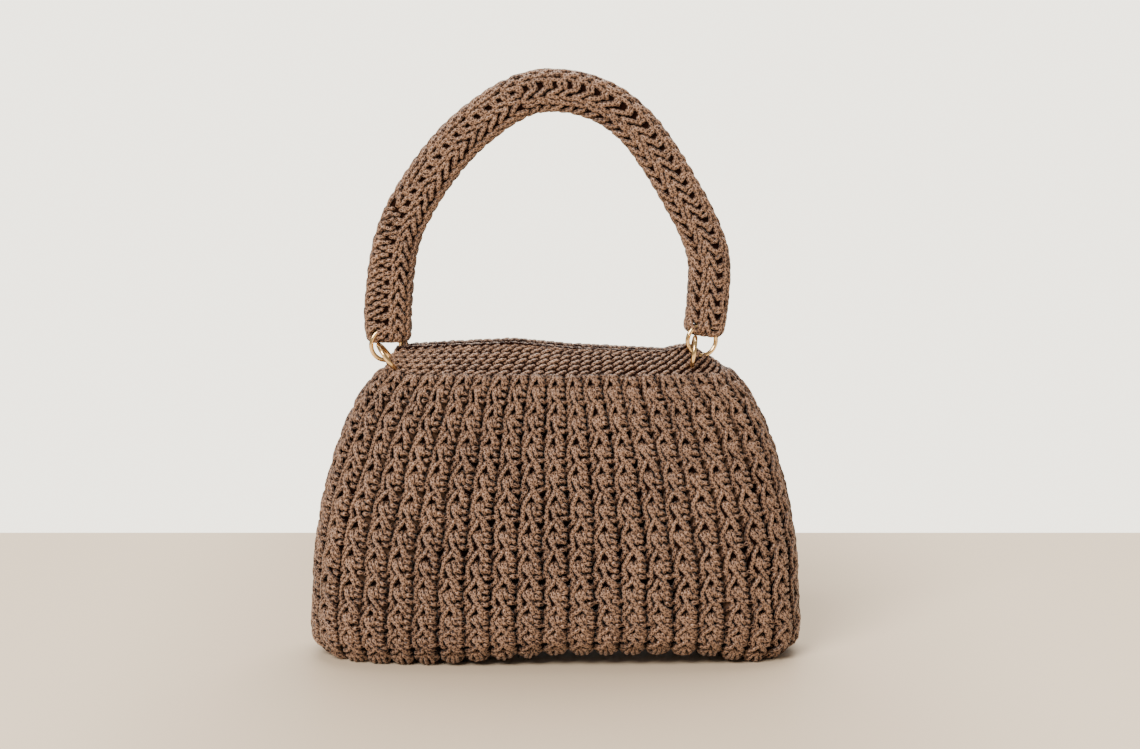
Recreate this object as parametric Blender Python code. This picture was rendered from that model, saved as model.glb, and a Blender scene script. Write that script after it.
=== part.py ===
"""A crochet handbag with a padded handle on linked rings.

Metres, +Z up. The origin is on the floor under the middle of the bag, whose front looks along -Y.
"""

from collections import namedtuple
from math import radians

import bmesh
import bpy
import numpy as np
from mathutils import Matrix, Vector

# Ribbed body
BAG_WIDTH = 0.2812
BAG_DEPTH = 0.100
SHOULDER_HEIGHT = 0.163
BODY_WALL = 0.0042
FLOOR_WALL = 0.0042
RIB_DEPTH = 0.0032
RIB_COUNT = 44
ARCH_HEIGHT = 0.008
ARCH_REACH = 0.060

# Plain stitched band round the mouth
BAND_HEIGHT = 0.0137
MOUTH_WIDTH = 0.171
MOUTH_DEPTH = 0.019
MOUTH_SHIFT = -0.0055
BAND_WALL = 0.0045
LIP_WAVE = 0.003
JOIN_GAP = 0.0003

# Handle
HANDLE_RISE = 0.1417
HANDLE_WIDTH = 0.0245
HANDLE_DEPTH = 0.016
HANDLE_OUT = 0.0035
HANDLE_LIFT = 0.0018
HANDLE_GROOVE = 0.0007
HANDLE_COLUMNS = 10
HANDLE_SECTIONS = 34
HANDLE_ROUNDING = 0.007
HANDLE_SQUARE = 2.8

# Rings
RING_OUTER = 0.0201
RING_WIRE = 0.0025
RING_CLEARANCE = 0.0004
RING_STEPS = 24
RING_SIDES = 8

# Shares that the shapes share
SAMPLES_PER_RIB = 4
RIB_CURVE = (1.0, 0.80, 0.0, 0.80)
FINE_STEPS = 1440

# Each section of the body: height as a share of the shoulder's height, half width and half depth as
# shares of half the bag's, how square its outline is, and how much of the rib's depth shows there
Section = namedtuple("Section", "up wide deep square rib")
SECTIONS = (
    Section(0.000, 0.895, 0.80, 3.2, 0.35),
    Section(0.022, 0.945, 0.89, 3.2, 0.75),
    Section(0.063, 0.995, 0.96, 3.1, 1.00),
    Section(0.125, 1.000, 0.99, 3.1, 1.00),
    Section(0.215, 0.992, 1.00, 3.0, 1.00),
    Section(0.370, 0.984, 0.97, 3.0, 1.00),
    Section(0.560, 0.945, 0.88, 2.9, 1.00),
    Section(0.700, 0.898, 0.79, 2.8, 1.00),
    Section(0.815, 0.850, 0.71, 2.7, 0.95),
    Section(0.895, 0.802, 0.65, 2.7, 0.90),
    Section(0.955, 0.758, 0.61, 2.6, 0.75),
    Section(1.000, 0.712, 0.59, 2.6, 0.45),
)
INNER_SECTIONS = (2, 4, 5, 6, 7, 8, 9, 11)

# Rise of the arched base: place along the bag as a share of half its width, and share of the arch
ArchRow = namedtuple("ArchRow", "along rise")
ARCH = (
    ArchRow(-0.74, 0.00),
    ArchRow(-0.46, 0.33),
    ArchRow(-0.24, 0.58),
    ArchRow(0.00, 1.00),
    ArchRow(0.45, 1.00),
    ArchRow(0.62, 0.80),
    ArchRow(0.80, 0.00),
)

# Each row of the band: height as a share of the band's, lean from the shoulder to the mouth, and how
# far the inner face lies inwards and downwards from the outer one, as shares of the wall
BandRow = namedtuple("BandRow", "up lean inset drop")
BAND_ROWS = (
    BandRow(0.00, 0.00, 1.25, 0.00),
    BandRow(0.32, 0.27, 0.95, 0.60),
    BandRow(0.64, 0.60, 0.80, 0.70),
    BandRow(0.91, 0.95, 0.85, 0.45),
)
BAND_RIDGE = BandRow(1.00, 1.00, 0.45, 0.00)
BAND_SQUARE = 2.6

# The lip's edge: place along the mouth as a share of half its width, and share of the wave
LipRow = namedtuple("LipRow", "along rise")
LIP = (
    LipRow(-1.00, -0.5),
    LipRow(-0.94, 0.0),
    LipRow(-0.45, 0.7),
    LipRow(-0.20, 1.0),
    LipRow(0.14, 0.0),
    LipRow(0.50, -0.5),
    LipRow(0.78, -0.9),
    LipRow(0.92, 0.1),
    LipRow(1.00, -0.4),
)

# The handle's centre line: place across as a share of half its span, height as a share of its rise,
# and width as a share of the handle's
HandleRow = namedtuple("HandleRow", "across up wide")
HANDLE = (
    HandleRow(-1.000, 0.000, 1.06),
    HandleRow(-1.000, 0.160, 1.08),
    HandleRow(-0.937, 0.419, 1.04),
    HandleRow(-0.752, 0.643, 1.02),
    HandleRow(-0.465, 0.850, 1.00),
    HandleRow(-0.101, 0.989, 0.98),
    HandleRow(0.270, 0.977, 0.97),
    HandleRow(0.572, 0.855, 0.95),
    HandleRow(0.845, 0.604, 0.95),
    HandleRow(1.022, 0.365, 0.95),
    HandleRow(1.025, 0.150, 0.94),
    HandleRow(0.997, 0.028, 0.92),
)

# Each ring: the handle's end that it hangs from, its centre from that end in ring radii, its turn
# about the vertical and its lean to the side, in degrees
RingRow = namedtuple("RingRow", "name end across back up turn lean")
RINGS = (
    RingRow("ring_left_handle", 0, -0.15, -0.45, -0.13, 22, 0),
    RingRow("ring_left_front", 0, -0.01, -0.82, -0.89, 90, -37),
    RingRow("ring_right_handle", -1, -0.06, -0.45, -0.30, 22, 0),
    RingRow("ring_right_front", -1, -0.65, -1.14, -1.02, 90, 8),
)

CORD_COLOUR = (0.235, 0.142, 0.086, 1.0)
BRASS_COLOUR = (0.83, 0.62, 0.36, 1.0)

HALF_WIDTH = BAG_WIDTH / 2 - RIB_DEPTH
HALF_DEPTH = BAG_DEPTH / 2 - RIB_DEPTH
AROUND = RIB_COUNT * SAMPLES_PER_RIB
MOUTH_HEIGHT = SHOULDER_HEIGHT + JOIN_GAP + BAND_HEIGHT
HALF_SPAN = MOUTH_WIDTH / 2 + HANDLE_OUT
RING_RADIUS = (RING_OUTER - RING_WIRE) / 2


def clear_scene():
    for old in list(bpy.data.objects):
        bpy.data.objects.remove(old)


def material(name, colour, roughness, metallic):
    made = bpy.data.materials.new(name)
    made.use_nodes = True
    shader = made.node_tree.nodes["Principled BSDF"]
    shader.inputs["Base Color"].default_value = colour
    shader.inputs["Roughness"].default_value = roughness
    shader.inputs["Metallic"].default_value = metallic
    return made


def outline(half_width, half_depth, square, count):
    """Points evenly spaced round a squared ellipse, from its +X end, and the outward normals there."""
    turn = np.linspace(0.0, 2 * np.pi, FINE_STEPS + 1)
    x = half_width * np.sign(np.cos(turn)) * np.abs(np.cos(turn)) ** (2 / square)
    y = half_depth * np.sign(np.sin(turn)) * np.abs(np.sin(turn)) ** (2 / square)
    step = np.hypot(np.diff(x), np.diff(y))
    length = np.concatenate([[0.0], np.cumsum(step)])
    places = np.arange(count) * length[-1] / count
    points = np.stack([np.interp(places, length, x), np.interp(places, length, y)], axis=1)
    along = np.roll(points, -1, axis=0) - np.roll(points, 1, axis=0)
    normals = np.stack([along[:, 1], -along[:, 0]], axis=1)
    return points, normals / np.linalg.norm(normals, axis=1)[:, None]


def arch_lift(x, height):
    """How far the arched base raises a point at this x and height."""
    rise = np.interp(x, [row.along * BAG_WIDTH / 2 for row in ARCH], [row.rise for row in ARCH])
    return ARCH_HEIGHT * rise * max(0.0, 1 - height / ARCH_REACH) ** 2


def lip_rise(x, share):
    """How far the wavy lip raises a point of the band at this x, from its foot to its edge."""
    places = [MOUTH_SHIFT + row.along * MOUTH_WIDTH / 2 for row in LIP]
    return LIP_WAVE * share**2 * np.interp(x, places, [row.rise for row in LIP])


def ribbed_loop(row):
    """One loop of the body's outer face, scalloped by its ribs."""
    points, normals = outline(HALF_WIDTH * row.wide, HALF_DEPTH * row.deep, row.square, AROUND)
    curve = np.tile(RIB_CURVE, RIB_COUNT)
    points = points + normals * (RIB_DEPTH * row.rib * curve)[:, None]
    height = row.up * SHOULDER_HEIGHT
    return np.column_stack([points, height + arch_lift(points[:, 0], height)])


def inner_loop(row, height, inset):
    """One plain loop of the body's inner face, with half as many points."""
    half_width = HALF_WIDTH * row.wide - inset
    half_depth = HALF_DEPTH * row.deep - inset
    points, _ = outline(half_width, half_depth, row.square, AROUND // 2)
    return np.column_stack([points, height + arch_lift(points[:, 0], height)])


def add_loop(bm, points):
    return [bm.verts.new(point) for point in points]


def join_loops(bm, lower, upper):
    """Quads between two loops of as many points."""
    count = len(lower)
    for i in range(count):
        after = (i + 1) % count
        bm.faces.new((lower[i], lower[after], upper[after], upper[i]))


def join_to_half(bm, whole, half):
    """Faces between a loop and one with half as many points."""
    for i in range(len(half)):
        after = (i + 1) % len(half)
        last = whole[(2 * i + 2) % len(whole)]
        bm.faces.new((whole[2 * i], whole[2 * i + 1], half[i]))
        bm.faces.new((whole[2 * i + 1], last, half[after], half[i]))


def close_across(bm, loop):
    """A sheet of strips from the front of a loop to its back, which can bend along the bag."""
    count = len(loop)
    bm.faces.new((loop[0], loop[1], loop[count - 1]))
    for i in range(1, count // 2 - 1):
        bm.faces.new((loop[i], loop[i + 1], loop[count - i - 1], loop[count - i]))
    middle = count // 2
    bm.faces.new((loop[middle - 1], loop[middle], loop[middle + 1]))


def finish(bm, name, look):
    """The closed mesh as a named object with its material, facing out and shaded smooth."""
    bmesh.ops.recalc_face_normals(bm, faces=bm.faces)
    mesh = bpy.data.meshes.new(name)
    bm.to_mesh(mesh)
    bm.free()
    mesh.shade_smooth()
    mesh.set_sharp_from_angle(angle=radians(50))
    mesh.materials.append(look)
    made = bpy.data.objects.new(name, mesh)
    bpy.context.scene.collection.objects.link(made)
    return made


def make_body(look):
    bm = bmesh.new()
    outer = [add_loop(bm, ribbed_loop(row)) for row in SECTIONS]
    for lower, upper in zip(outer, outer[1:]):
        join_loops(bm, lower, upper)
    close_across(bm, outer[0])

    inner = [add_loop(bm, inner_loop(SECTIONS[1], FLOOR_WALL, BODY_WALL))]
    for index in INNER_SECTIONS:
        row = SECTIONS[index]
        inner.append(add_loop(bm, inner_loop(row, row.up * SHOULDER_HEIGHT, BODY_WALL)))
    for lower, upper in zip(inner, inner[1:]):
        join_loops(bm, lower, upper)
    close_across(bm, inner[0])
    join_to_half(bm, outer[-1], inner[-1])
    return finish(bm, "body", look)


def band_loop(row, inset, drop):
    """One loop of the band, between the shoulder's outline and the mouth's."""
    top = SECTIONS[-1]
    half_width = HALF_WIDTH * top.wide * (1 - row.lean) + MOUTH_WIDTH / 2 * row.lean - inset
    half_depth = HALF_DEPTH * top.deep * (1 - row.lean) + MOUTH_DEPTH / 2 * row.lean - inset
    points, _ = outline(half_width, half_depth, BAND_SQUARE, AROUND // 2)
    x = points[:, 0] + MOUTH_SHIFT * row.lean
    foot = SHOULDER_HEIGHT + JOIN_GAP
    z = foot + row.up * BAND_HEIGHT - drop + lip_rise(x, row.up)
    return np.column_stack([x, points[:, 1], np.maximum(z, foot)])


def make_band(look):
    bm = bmesh.new()
    loops = [band_loop(row, 0.0, 0.0) for row in BAND_ROWS]
    loops.append(band_loop(BAND_RIDGE, BAND_RIDGE.inset * BAND_WALL, 0.0))
    for row in reversed(BAND_ROWS):
        loops.append(band_loop(row, row.inset * BAND_WALL, row.drop * BAND_WALL))
    made = [add_loop(bm, points) for points in loops]
    for lower, upper in zip(made, made[1:] + made[:1]):
        join_loops(bm, lower, upper)
    return finish(bm, "top_band", look)


def smooth_rows(rows, count):
    """Evenly spaced values on a smooth curve through the rows, by Catmull and Rom's rule."""
    rows = np.array(rows, float)
    padded = np.vstack([2 * rows[0] - rows[1], rows, 2 * rows[-1] - rows[-2]])
    fine = []
    steps = FINE_STEPS // len(rows)
    for i in range(len(rows) - 1):
        before, start, end, after = padded[i : i + 4]
        for t in np.arange(steps) / steps:
            bend = 2 * before - 5 * start + 4 * end - after
            twist = 3 * start - before - 3 * end + after
            fine.append(start + 0.5 * t * (end - before + t * (bend + t * twist)))
    fine.append(rows[-1])
    fine = np.array(fine)
    step = np.linalg.norm(np.diff(fine[:, :2], axis=0), axis=1)
    length = np.concatenate([[0.0], np.cumsum(step)])
    places = np.linspace(0.0, length[-1], count)
    columns = [np.interp(places, length, fine[:, i]) for i in range(fine.shape[1])]
    return np.column_stack(columns), places


def handle_line():
    """The handle's centre line as rows of x, z and half width, and the distance along it."""
    foot = MOUTH_HEIGHT + HANDLE_LIFT
    rows = [
        (MOUTH_SHIFT + row.across * HALF_SPAN, foot + row.up * HANDLE_RISE, row.wide * HANDLE_WIDTH / 2)
        for row in HANDLE
    ]
    return smooth_rows(rows, HANDLE_SECTIONS)


def handle_section(half_width, half_depth):
    """A grooved, squared section: points across and through the handle."""
    count = HANDLE_COLUMNS * 2
    points, normals = outline(half_width - HANDLE_GROOVE, half_depth - HANDLE_GROOVE, HANDLE_SQUARE, count)
    crest = np.tile([1.0, 0.0], HANDLE_COLUMNS)
    return points + normals * (HANDLE_GROOVE * crest)[:, None]


def make_handle(look):
    line, places = handle_line()
    along = np.gradient(line[:, :2], axis=0)
    along /= np.linalg.norm(along, axis=1)[:, None]
    bm = bmesh.new()
    loops = []
    for (x, z, half_width), (run, climb), place in zip(line, along, places):
        from_end = min(place, places[-1] - place)
        inside = min(1.0, from_end / HANDLE_ROUNDING)
        full = 0.66 + 0.34 * (1 - (1 - inside) ** 2) ** 0.5
        section = handle_section(half_width * full, HANDLE_DEPTH / 2 * full)
        across, through = section[:, 0], section[:, 1]
        loops.append(np.column_stack([x + across * climb, through, z - across * run]))
    made = [add_loop(bm, points) for points in loops]
    for lower, upper in zip(made, made[1:]):
        join_loops(bm, lower, upper)
    bm.faces.new(made[0])
    bm.faces.new(made[-1])
    return finish(bm, "handle", look)


def ring_place(row):
    """Where a ring lies: its plane is turned and leant, and its centre follows the handle's end."""
    line, _ = handle_line()
    x, z, _ = line[row.end]
    centre = Vector((x, 0.0, z)) + Vector((row.across, row.back, row.up)) * RING_RADIUS
    turn = Matrix.Rotation(radians(row.turn), 4, "Z")
    lean = Matrix.Rotation(radians(row.lean), 4, "Y")
    return Matrix.Translation(centre) @ lean @ turn


def make_ring(row, name, wire_radius, look):
    """A wire ring in its own X and Z plane, placed by its object."""
    bm = bmesh.new()
    wire = bmesh.ops.create_circle(bm, segments=RING_SIDES, radius=wire_radius)["verts"]
    bmesh.ops.translate(bm, verts=wire, vec=(RING_RADIUS, 0, 0))
    section = bm.verts[:] + bm.edges[:]
    full = radians(360)
    bmesh.ops.spin(bm, geom=section, axis=(0, 1, 0), angle=full, steps=RING_STEPS, use_merge=True)
    made = finish(bm, name, look)
    made.matrix_world = ring_place(row)
    return made


def cut(target, cutter):
    hole = target.modifiers.new("channel of " + cutter.name, "BOOLEAN")
    hole.operation = "DIFFERENCE"
    hole.solver = "EXACT"
    hole.object = cutter


def main():
    clear_scene()
    cord = material("crochet cord", CORD_COLOUR, 0.62, 0.0)
    handle_cord = material("handle cord", CORD_COLOUR, 0.60, 0.0)
    brass = material("pale brass", BRASS_COLOUR, 0.22, 1.0)
    body = make_body(cord)
    band = make_band(cord)
    handle = make_handle(handle_cord)
    for row in RINGS:
        make_ring(row, row.name, RING_WIRE / 2, brass)
        channel = make_ring(row, "channel " + row.name, RING_WIRE / 2 + RING_CLEARANCE, brass)
        channel.hide_render = True
        channel.display_type = "WIRE"
        for target in (body, band, handle):
            cut(target, channel)


main()
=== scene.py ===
"""Dresses the crochet handbag: cord stitches on its body, band and handle, and brass rings."""

import logging
import math
from dataclasses import dataclass, field, replace
from enum import Enum
from typing import Any, Callable, NamedTuple, Sequence

import bmesh
import bpy
import numpy as np
from bpy.types import ID, Material, Node, NodeSocket, NodeTree, Object
from mathutils import Matrix, Vector
from numpy.random import Generator


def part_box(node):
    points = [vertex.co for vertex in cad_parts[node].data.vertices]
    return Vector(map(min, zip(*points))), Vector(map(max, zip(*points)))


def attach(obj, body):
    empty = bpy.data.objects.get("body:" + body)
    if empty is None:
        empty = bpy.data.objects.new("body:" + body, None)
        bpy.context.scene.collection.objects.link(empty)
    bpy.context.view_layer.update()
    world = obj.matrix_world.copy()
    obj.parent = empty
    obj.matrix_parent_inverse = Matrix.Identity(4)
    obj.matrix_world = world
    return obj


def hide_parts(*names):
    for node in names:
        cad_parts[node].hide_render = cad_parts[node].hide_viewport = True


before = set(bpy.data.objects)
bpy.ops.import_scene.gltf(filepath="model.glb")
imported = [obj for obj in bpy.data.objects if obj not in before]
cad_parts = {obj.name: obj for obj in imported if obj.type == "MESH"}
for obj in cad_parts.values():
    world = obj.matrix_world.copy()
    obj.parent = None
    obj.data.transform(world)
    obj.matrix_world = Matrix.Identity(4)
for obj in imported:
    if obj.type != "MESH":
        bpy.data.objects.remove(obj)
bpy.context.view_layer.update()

log = logging.getLogger("crochet_bag")
MM = 0.001
OUTLINE_POINTS = 1441
SHARP_ANGLE = math.radians(55)
Array = np.ndarray
Colour = tuple[float, float, float]


class Slot(Enum):
    """The record's material slots."""

    BODY = "body_cord"
    BAND = "band_cord"
    HANDLE = "handle_cord"
    RING = "ring_metal"


@dataclass(frozen=True)
class Strand:
    """One piece of cord in a stitch, from where it comes up to where it goes down again.

    Its turns lie right and up by shares of the stitch, at heights in millimetres. Steps is how many rings
    its tube has, and thick is its share of the cord's thickness.
    """

    right: Sequence[float]
    up: Sequence[float]
    height: Sequence[float]
    steps: int = 9
    thick: float = 1.0

    def scaled(self, right: float, up: float) -> "Strand":
        """The strand with its places in the stitch multiplied, by -1 where they change sides."""
        return replace(self, right=[right * part for part in self.right], up=[up * part for part in self.up])


def unit(vectors: Array) -> Array:
    """The vectors along the last axis, each made one long."""
    shortest = 1e-12
    return vectors / np.maximum(np.linalg.norm(vectors, axis=-1, keepdims=True), shortest)


def read(places: Array, known: Array, rows: Array) -> Array:
    """Reads each column of the rows at places, from the places where the rows are known."""
    return np.column_stack([np.interp(places, known, column) for column in rows.T])


def run_length(points: Array) -> Array:
    """How far along a line each of its points is."""
    return np.concatenate([[0.0], np.cumsum(np.linalg.norm(np.diff(points, axis=0), axis=1))])


def between(before: Array, start: Array, end: Array, after: Array, part: Array) -> Array:
    """A smooth curve's values some part of the way from start to end, by Catmull and Rom's rule."""
    bend = 2 * before - 5 * start + 4 * end - after
    twist = 3 * start - before - 3 * end + after
    return start + 0.5 * part * (end - before + part * (bend + part * twist))


def resample(values: Array, steps: int) -> Array:
    """Reads smooth curves through values, which are paths by turns by columns, in some steps a path."""
    first = 2 * values[:, :1] - values[:, 1:2]
    last = 2 * values[:, -1:] - values[:, -2:-1]
    padded = np.concatenate([first, values, last], axis=1)
    turns = values.shape[1]
    place = np.linspace(0.0, turns - 1, steps)
    low = np.minimum(place.astype(int), turns - 2)
    near = [padded[:, low + shift] for shift in range(4)]
    return between(*near, (place - low)[None, :, None])


def smooth_columns(rows: Array, count: int, steps: int = 60) -> Array:
    """Reads a smooth curve through rows.

    Args:
        rows: the rows that it goes through.
        count: how many to read, evenly spaced along the curve's first two columns.
        steps: how many points stand for the curve between two rows.

    Returns:
        The values, with as many columns as the rows.
    """
    padded = np.vstack([2 * rows[0] - rows[1], rows, 2 * rows[-1] - rows[-2]])
    part = np.linspace(0.0, 1.0, steps, endpoint=False)[:, None]
    curve = [between(*padded[index : index + 4], part) for index in range(len(rows) - 1)]
    dense = np.vstack([*curve, rows[-1]])
    length = run_length(dense[:, :2])
    return read(np.linspace(0.0, length[-1], count), length, dense)


def outline(half_width: float, half_depth: float, square: float, count: int) -> Array:
    """Finds points evenly spaced round a squared ellipse.

    Args:
        half_width: half its size along X.
        half_depth: half its size along Y.
        square: 2 for an ellipse, and more for squarer ends.
        count: how many points.

    Returns:
        The points' x and y, anticlockwise from the +X end.
    """
    turn = np.linspace(0.0, 2 * math.pi, OUTLINE_POINTS)
    x = half_width * np.sign(np.cos(turn)) * np.abs(np.cos(turn)) ** (2 / square)
    y = half_depth * np.sign(np.sin(turn)) * np.abs(np.sin(turn)) ** (2 / square)
    length = np.concatenate([[0.0], np.cumsum(np.hypot(np.diff(x), np.diff(y)))])
    return read(np.arange(count) * length[-1] / count, length, np.column_stack([x, y]))


@dataclass
class Patch:
    """A closed surface on an even grid, on which a stitch is placed by how far round and along it is.

    The points are levels by steps by 3, each level a closed loop. Around is how many stitches go round it,
    first and last are the stitch counts at its first and last levels, and sway is how far the hand-made
    columns and rows wander, as a share of a stitch.
    """

    points: Array
    around: float
    first: float
    last: float
    sway: float = 0.0

    def __post_init__(self) -> None:
        """Finds the outward normals at the grid's points."""
        across = np.roll(self.points, -1, axis=1) - np.roll(self.points, 1, axis=1)
        self.normals = unit(np.cross(across, np.gradient(self.points, axis=0)))

    def at(self, right: Array, up: Array) -> tuple[Array, Array]:
        """Reads the points and the outward normals at places round and along it, in stitches."""
        levels, steps, _ = self.points.shape
        # Slow waves round and along the work, whose lengths don't fit together
        turn = 2 * math.pi * right / self.around
        astray = self.sway * (np.sin(7 * turn + 1.9 * up) + 0.7 * np.sin(17 * turn - 1.1 * up + 1.0))
        lifted = self.sway * np.clip(up, 0.0, 1.0) * np.sin(11 * turn + 0.8 * up)
        right, up = right + astray, up + 0.8 * lifted

        # The four grid points round each place, weighed by how near they are
        level = np.clip((up - self.first) / (self.last - self.first) * (levels - 1), 0, levels - 1.001)
        column = np.mod(right / self.around, 1.0) * steps
        low = level.astype(int)
        left = column.astype(int) % steps
        beside = (left + 1) % steps
        rise = (level - low)[..., None]
        shift = (column - np.floor(column))[..., None]
        found = []
        for grid in (self.points, self.normals):
            lower = grid[low, left] * (1 - shift) + grid[low, beside] * shift
            upper = grid[low + 1, left] * (1 - shift) + grid[low + 1, beside] * shift
            found.append(lower * (1 - rise) + upper * rise)
        return found[0], unit(found[1])


def placed(name: str, data: ID) -> Object:
    """Makes an object of a mesh, a light or a camera and links it to the scene."""
    made = bpy.data.objects.new(name, data)
    bpy.context.scene.collection.objects.link(made)
    return made


def meshed(name: str, bm: bmesh.types.BMesh, look: Material) -> Object:
    """Makes an object of a bmesh in one material, and frees the bmesh."""
    mesh = bpy.data.meshes.new(name)
    bm.to_mesh(mesh)
    bm.free()
    mesh.materials.append(look)
    log.info("%s: %d faces", name, len(mesh.polygons))
    return placed(name, mesh)


@dataclass
class Skein:
    """Lengths of cord, gathered in bundles and joined into one mesh.

    The tip is the share of a strand in which it gets thinner at each end, down to the slim share of its
    thickness, and the twist is how far a strand's knit is turned round it, as a share of a whole turn.
    """

    knit_pitch: float = 2.4 * MM
    sides: int = 6
    tip: float = 0.10
    slim: float = 0.5
    twist: float = 0.06
    bundles: list[tuple[Array, ...]] = field(default_factory=list)
    total: int = 0

    def lay(
        self, centres: Array, normals: Array, radius: Array, depth: Array, steps: int, rng: Generator
    ) -> None:
        """Adds a tube along each path.

        Args:
            centres: paths by turns by 3, the points that each path goes through.
            normals: the surface's outward normals there.
            radius: each path's cord radius.
            depth: how deep each turn lies, 0 on top and 1 out of sight, which the cord finish paints as
                shade.
            steps: how many rings each tube has.
            rng: the source of the small differences between strands.
        """
        # Rings of points square to each path
        line = resample(centres, steps)
        facing = resample(normals, steps)
        sunk = resample(depth[..., None], steps)
        count = len(line)
        ahead = unit(np.gradient(line, axis=1))
        side = unit(np.cross(ahead, facing))
        top = np.cross(side, ahead)
        share = np.linspace(0.0, 1.0, steps)
        end = np.clip(np.minimum(share, 1 - share) / self.tip, 0.0, 1.0)
        taper = self.slim + (1 - self.slim) * np.sqrt(1 - (1 - end) ** 2)
        thick = radius[:, None] * taper[None, :]
        angle = 2 * math.pi * np.arange(self.sides) / self.sides
        ring = side[:, :, None] * np.cos(angle)[None, None, :, None]
        ring = ring + top[:, :, None] * np.sin(angle)[None, None, :, None]
        tubes = line[:, :, None] + ring * thick[:, :, None, None]
        tubes[..., 2] = np.maximum(tubes[..., 2], 0.0)

        # The faces between rings and at both ends
        grid = self.total + np.arange(count * steps * self.sides).reshape(count, steps, self.sides)
        beside = np.roll(grid, -1, axis=2)
        quads = np.stack([grid[:, :-1], grid[:, 1:], beside[:, 1:], beside[:, :-1]], axis=-1)
        caps = np.concatenate([grid[:, 0], grid[:, -1, ::-1]])
        self.total += count * steps * self.sides

        # The map: knit links along the cord, and shares of a turn round it
        step = np.linalg.norm(np.diff(line, axis=1), axis=2)
        length = np.concatenate([np.zeros((count, 1)), np.cumsum(step, axis=1)], axis=1) / self.knit_pitch
        length = length + rng.random((count, 1))
        turned = rng.uniform(-self.twist, self.twist, (count, 1, 1))
        low = np.broadcast_to(np.arange(self.sides) / self.sides, (count, steps - 1, self.sides)) + turned
        high = low + 1 / self.sides
        start = np.broadcast_to(length[:, :-1, None], low.shape)
        stop = np.broadcast_to(length[:, 1:, None], low.shape)
        corners = np.stack([start, low, stop, low, stop, high, start, high], axis=-1)
        tones = np.repeat(rng.normal(0.0, 1.0, count), steps * self.sides)
        depths = np.repeat(np.clip(sunk[..., 0], 0.0, 1.0).ravel(), self.sides)
        cord = (tubes.reshape(-1, 3), quads.reshape(-1, 4), caps, corners.reshape(-1, 2), tones, depths)
        self.bundles.append(cord)

    def joined(self, name: str, look: Material) -> Object:
        """Makes one smooth piece of all the cord, at the origin."""
        points, quads, caps, maps, tones, depths = (np.concatenate(rows) for rows in zip(*self.bundles))
        loops = np.concatenate([quads.ravel(), caps.ravel()])
        sizes = np.repeat([4, self.sides], [len(quads), len(caps)])
        mesh = bpy.data.meshes.new(name)
        mesh.vertices.add(len(points))
        mesh.vertices.foreach_set("co", points.astype(np.float32).ravel())
        mesh.loops.add(len(loops))
        mesh.loops.foreach_set("vertex_index", loops.astype(np.int32))
        mesh.polygons.add(len(sizes))
        mesh.polygons.foreach_set("loop_start", (np.cumsum(sizes) - sizes).astype(np.int32))
        mesh.update(calc_edges=True)
        uv = np.zeros((len(loops), 2), np.float32)
        uv[: len(maps)] = maps
        mesh.uv_layers.new(name="along_cord").data.foreach_set("uv", uv.ravel())
        # tone is each strand's own random tone; deep is how sunken each point lies, for the cord's painted
        # shade
        for title, values in (("tone", tones), ("deep", depths)):
            layer = mesh.attributes.new(title, "FLOAT", "POINT")
            layer.data.foreach_set("value", values.astype(np.float32))
        mesh.shade_smooth()
        mesh.materials.append(look)
        triangles = len(quads) * 2 + len(caps) * (self.sides - 2)
        log.info("%s: %d strands, %d triangles", name, len(caps) // 2, triangles)
        return placed(name, mesh)


@dataclass
class StitchLayer:
    """Lays one kind of stitch over a patch.

    The loose values are how far each turn strays, in stitches, in millimetres of height and as a share
    of the cord's thickness. The sink is the depth in millimetres at which cord is in full painted shade, and
    the groove is how much more painted shade darkens it towards the gap between two ribs.
    """

    patch: Patch
    radius: float
    rng: Generator
    loose: float = 0.02
    loose_height: float = 0.12
    loose_thickness: float = 0.06
    sink: float = 2.0
    groove: float = 0.0
    skein: Skein = field(default_factory=Skein)

    def lay(
        self,
        strand: Strand,
        right: Array,
        up: Array,
        bulge: Callable[[Array, Array], Array] | None = None,
        shrink: Array | None = None,
    ) -> None:
        """Lays a strand in each of many stitches.

        Args:
            strand: the strand's turns in its stitch.
            right: each stitch's place round the patch.
            up: each stitch's place along the patch.
            bulge: how far the ribs raise each turn of each stitch, or None for a plain surface.
            shrink: each stitch's share of the cord's thickness, or None for all of it.
        """
        shape = (len(right), len(strand.right))
        across = right[:, None] + np.array(strand.right) + self.rng.normal(0, self.loose, shape)
        along = up[:, None] + np.array(strand.up) + self.rng.normal(0, self.loose, shape)
        raised = np.array(strand.height) + self.rng.normal(0, self.loose_height, shape)
        points, normals = self.patch.at(across, along)
        varied = 1 + self.loose_thickness * self.rng.uniform(-1, 1, len(right))
        radius = self.radius * strand.thick * varied
        if shrink is not None:
            radius = radius * shrink
        height = raised * MM - radius[:, None]
        # How much painted shade each turn gets: more the deeper it lies, and more towards the groove between
        # ribs
        depth = -raised / self.sink
        if bulge is not None:
            height = height + bulge(across, along)
            off = 2 * np.abs(across - np.round(across))
            depth = depth + self.groove * (1 - np.sqrt(1 - off**2)) ** 1.5
        centres = points + normals * height[..., None]
        centres[..., 2] = np.maximum(centres[..., 2], radius[:, None])
        self.skein.lay(centres, normals, radius, np.clip(depth, 0.0, 1.0), strand.steps, self.rng)


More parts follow.
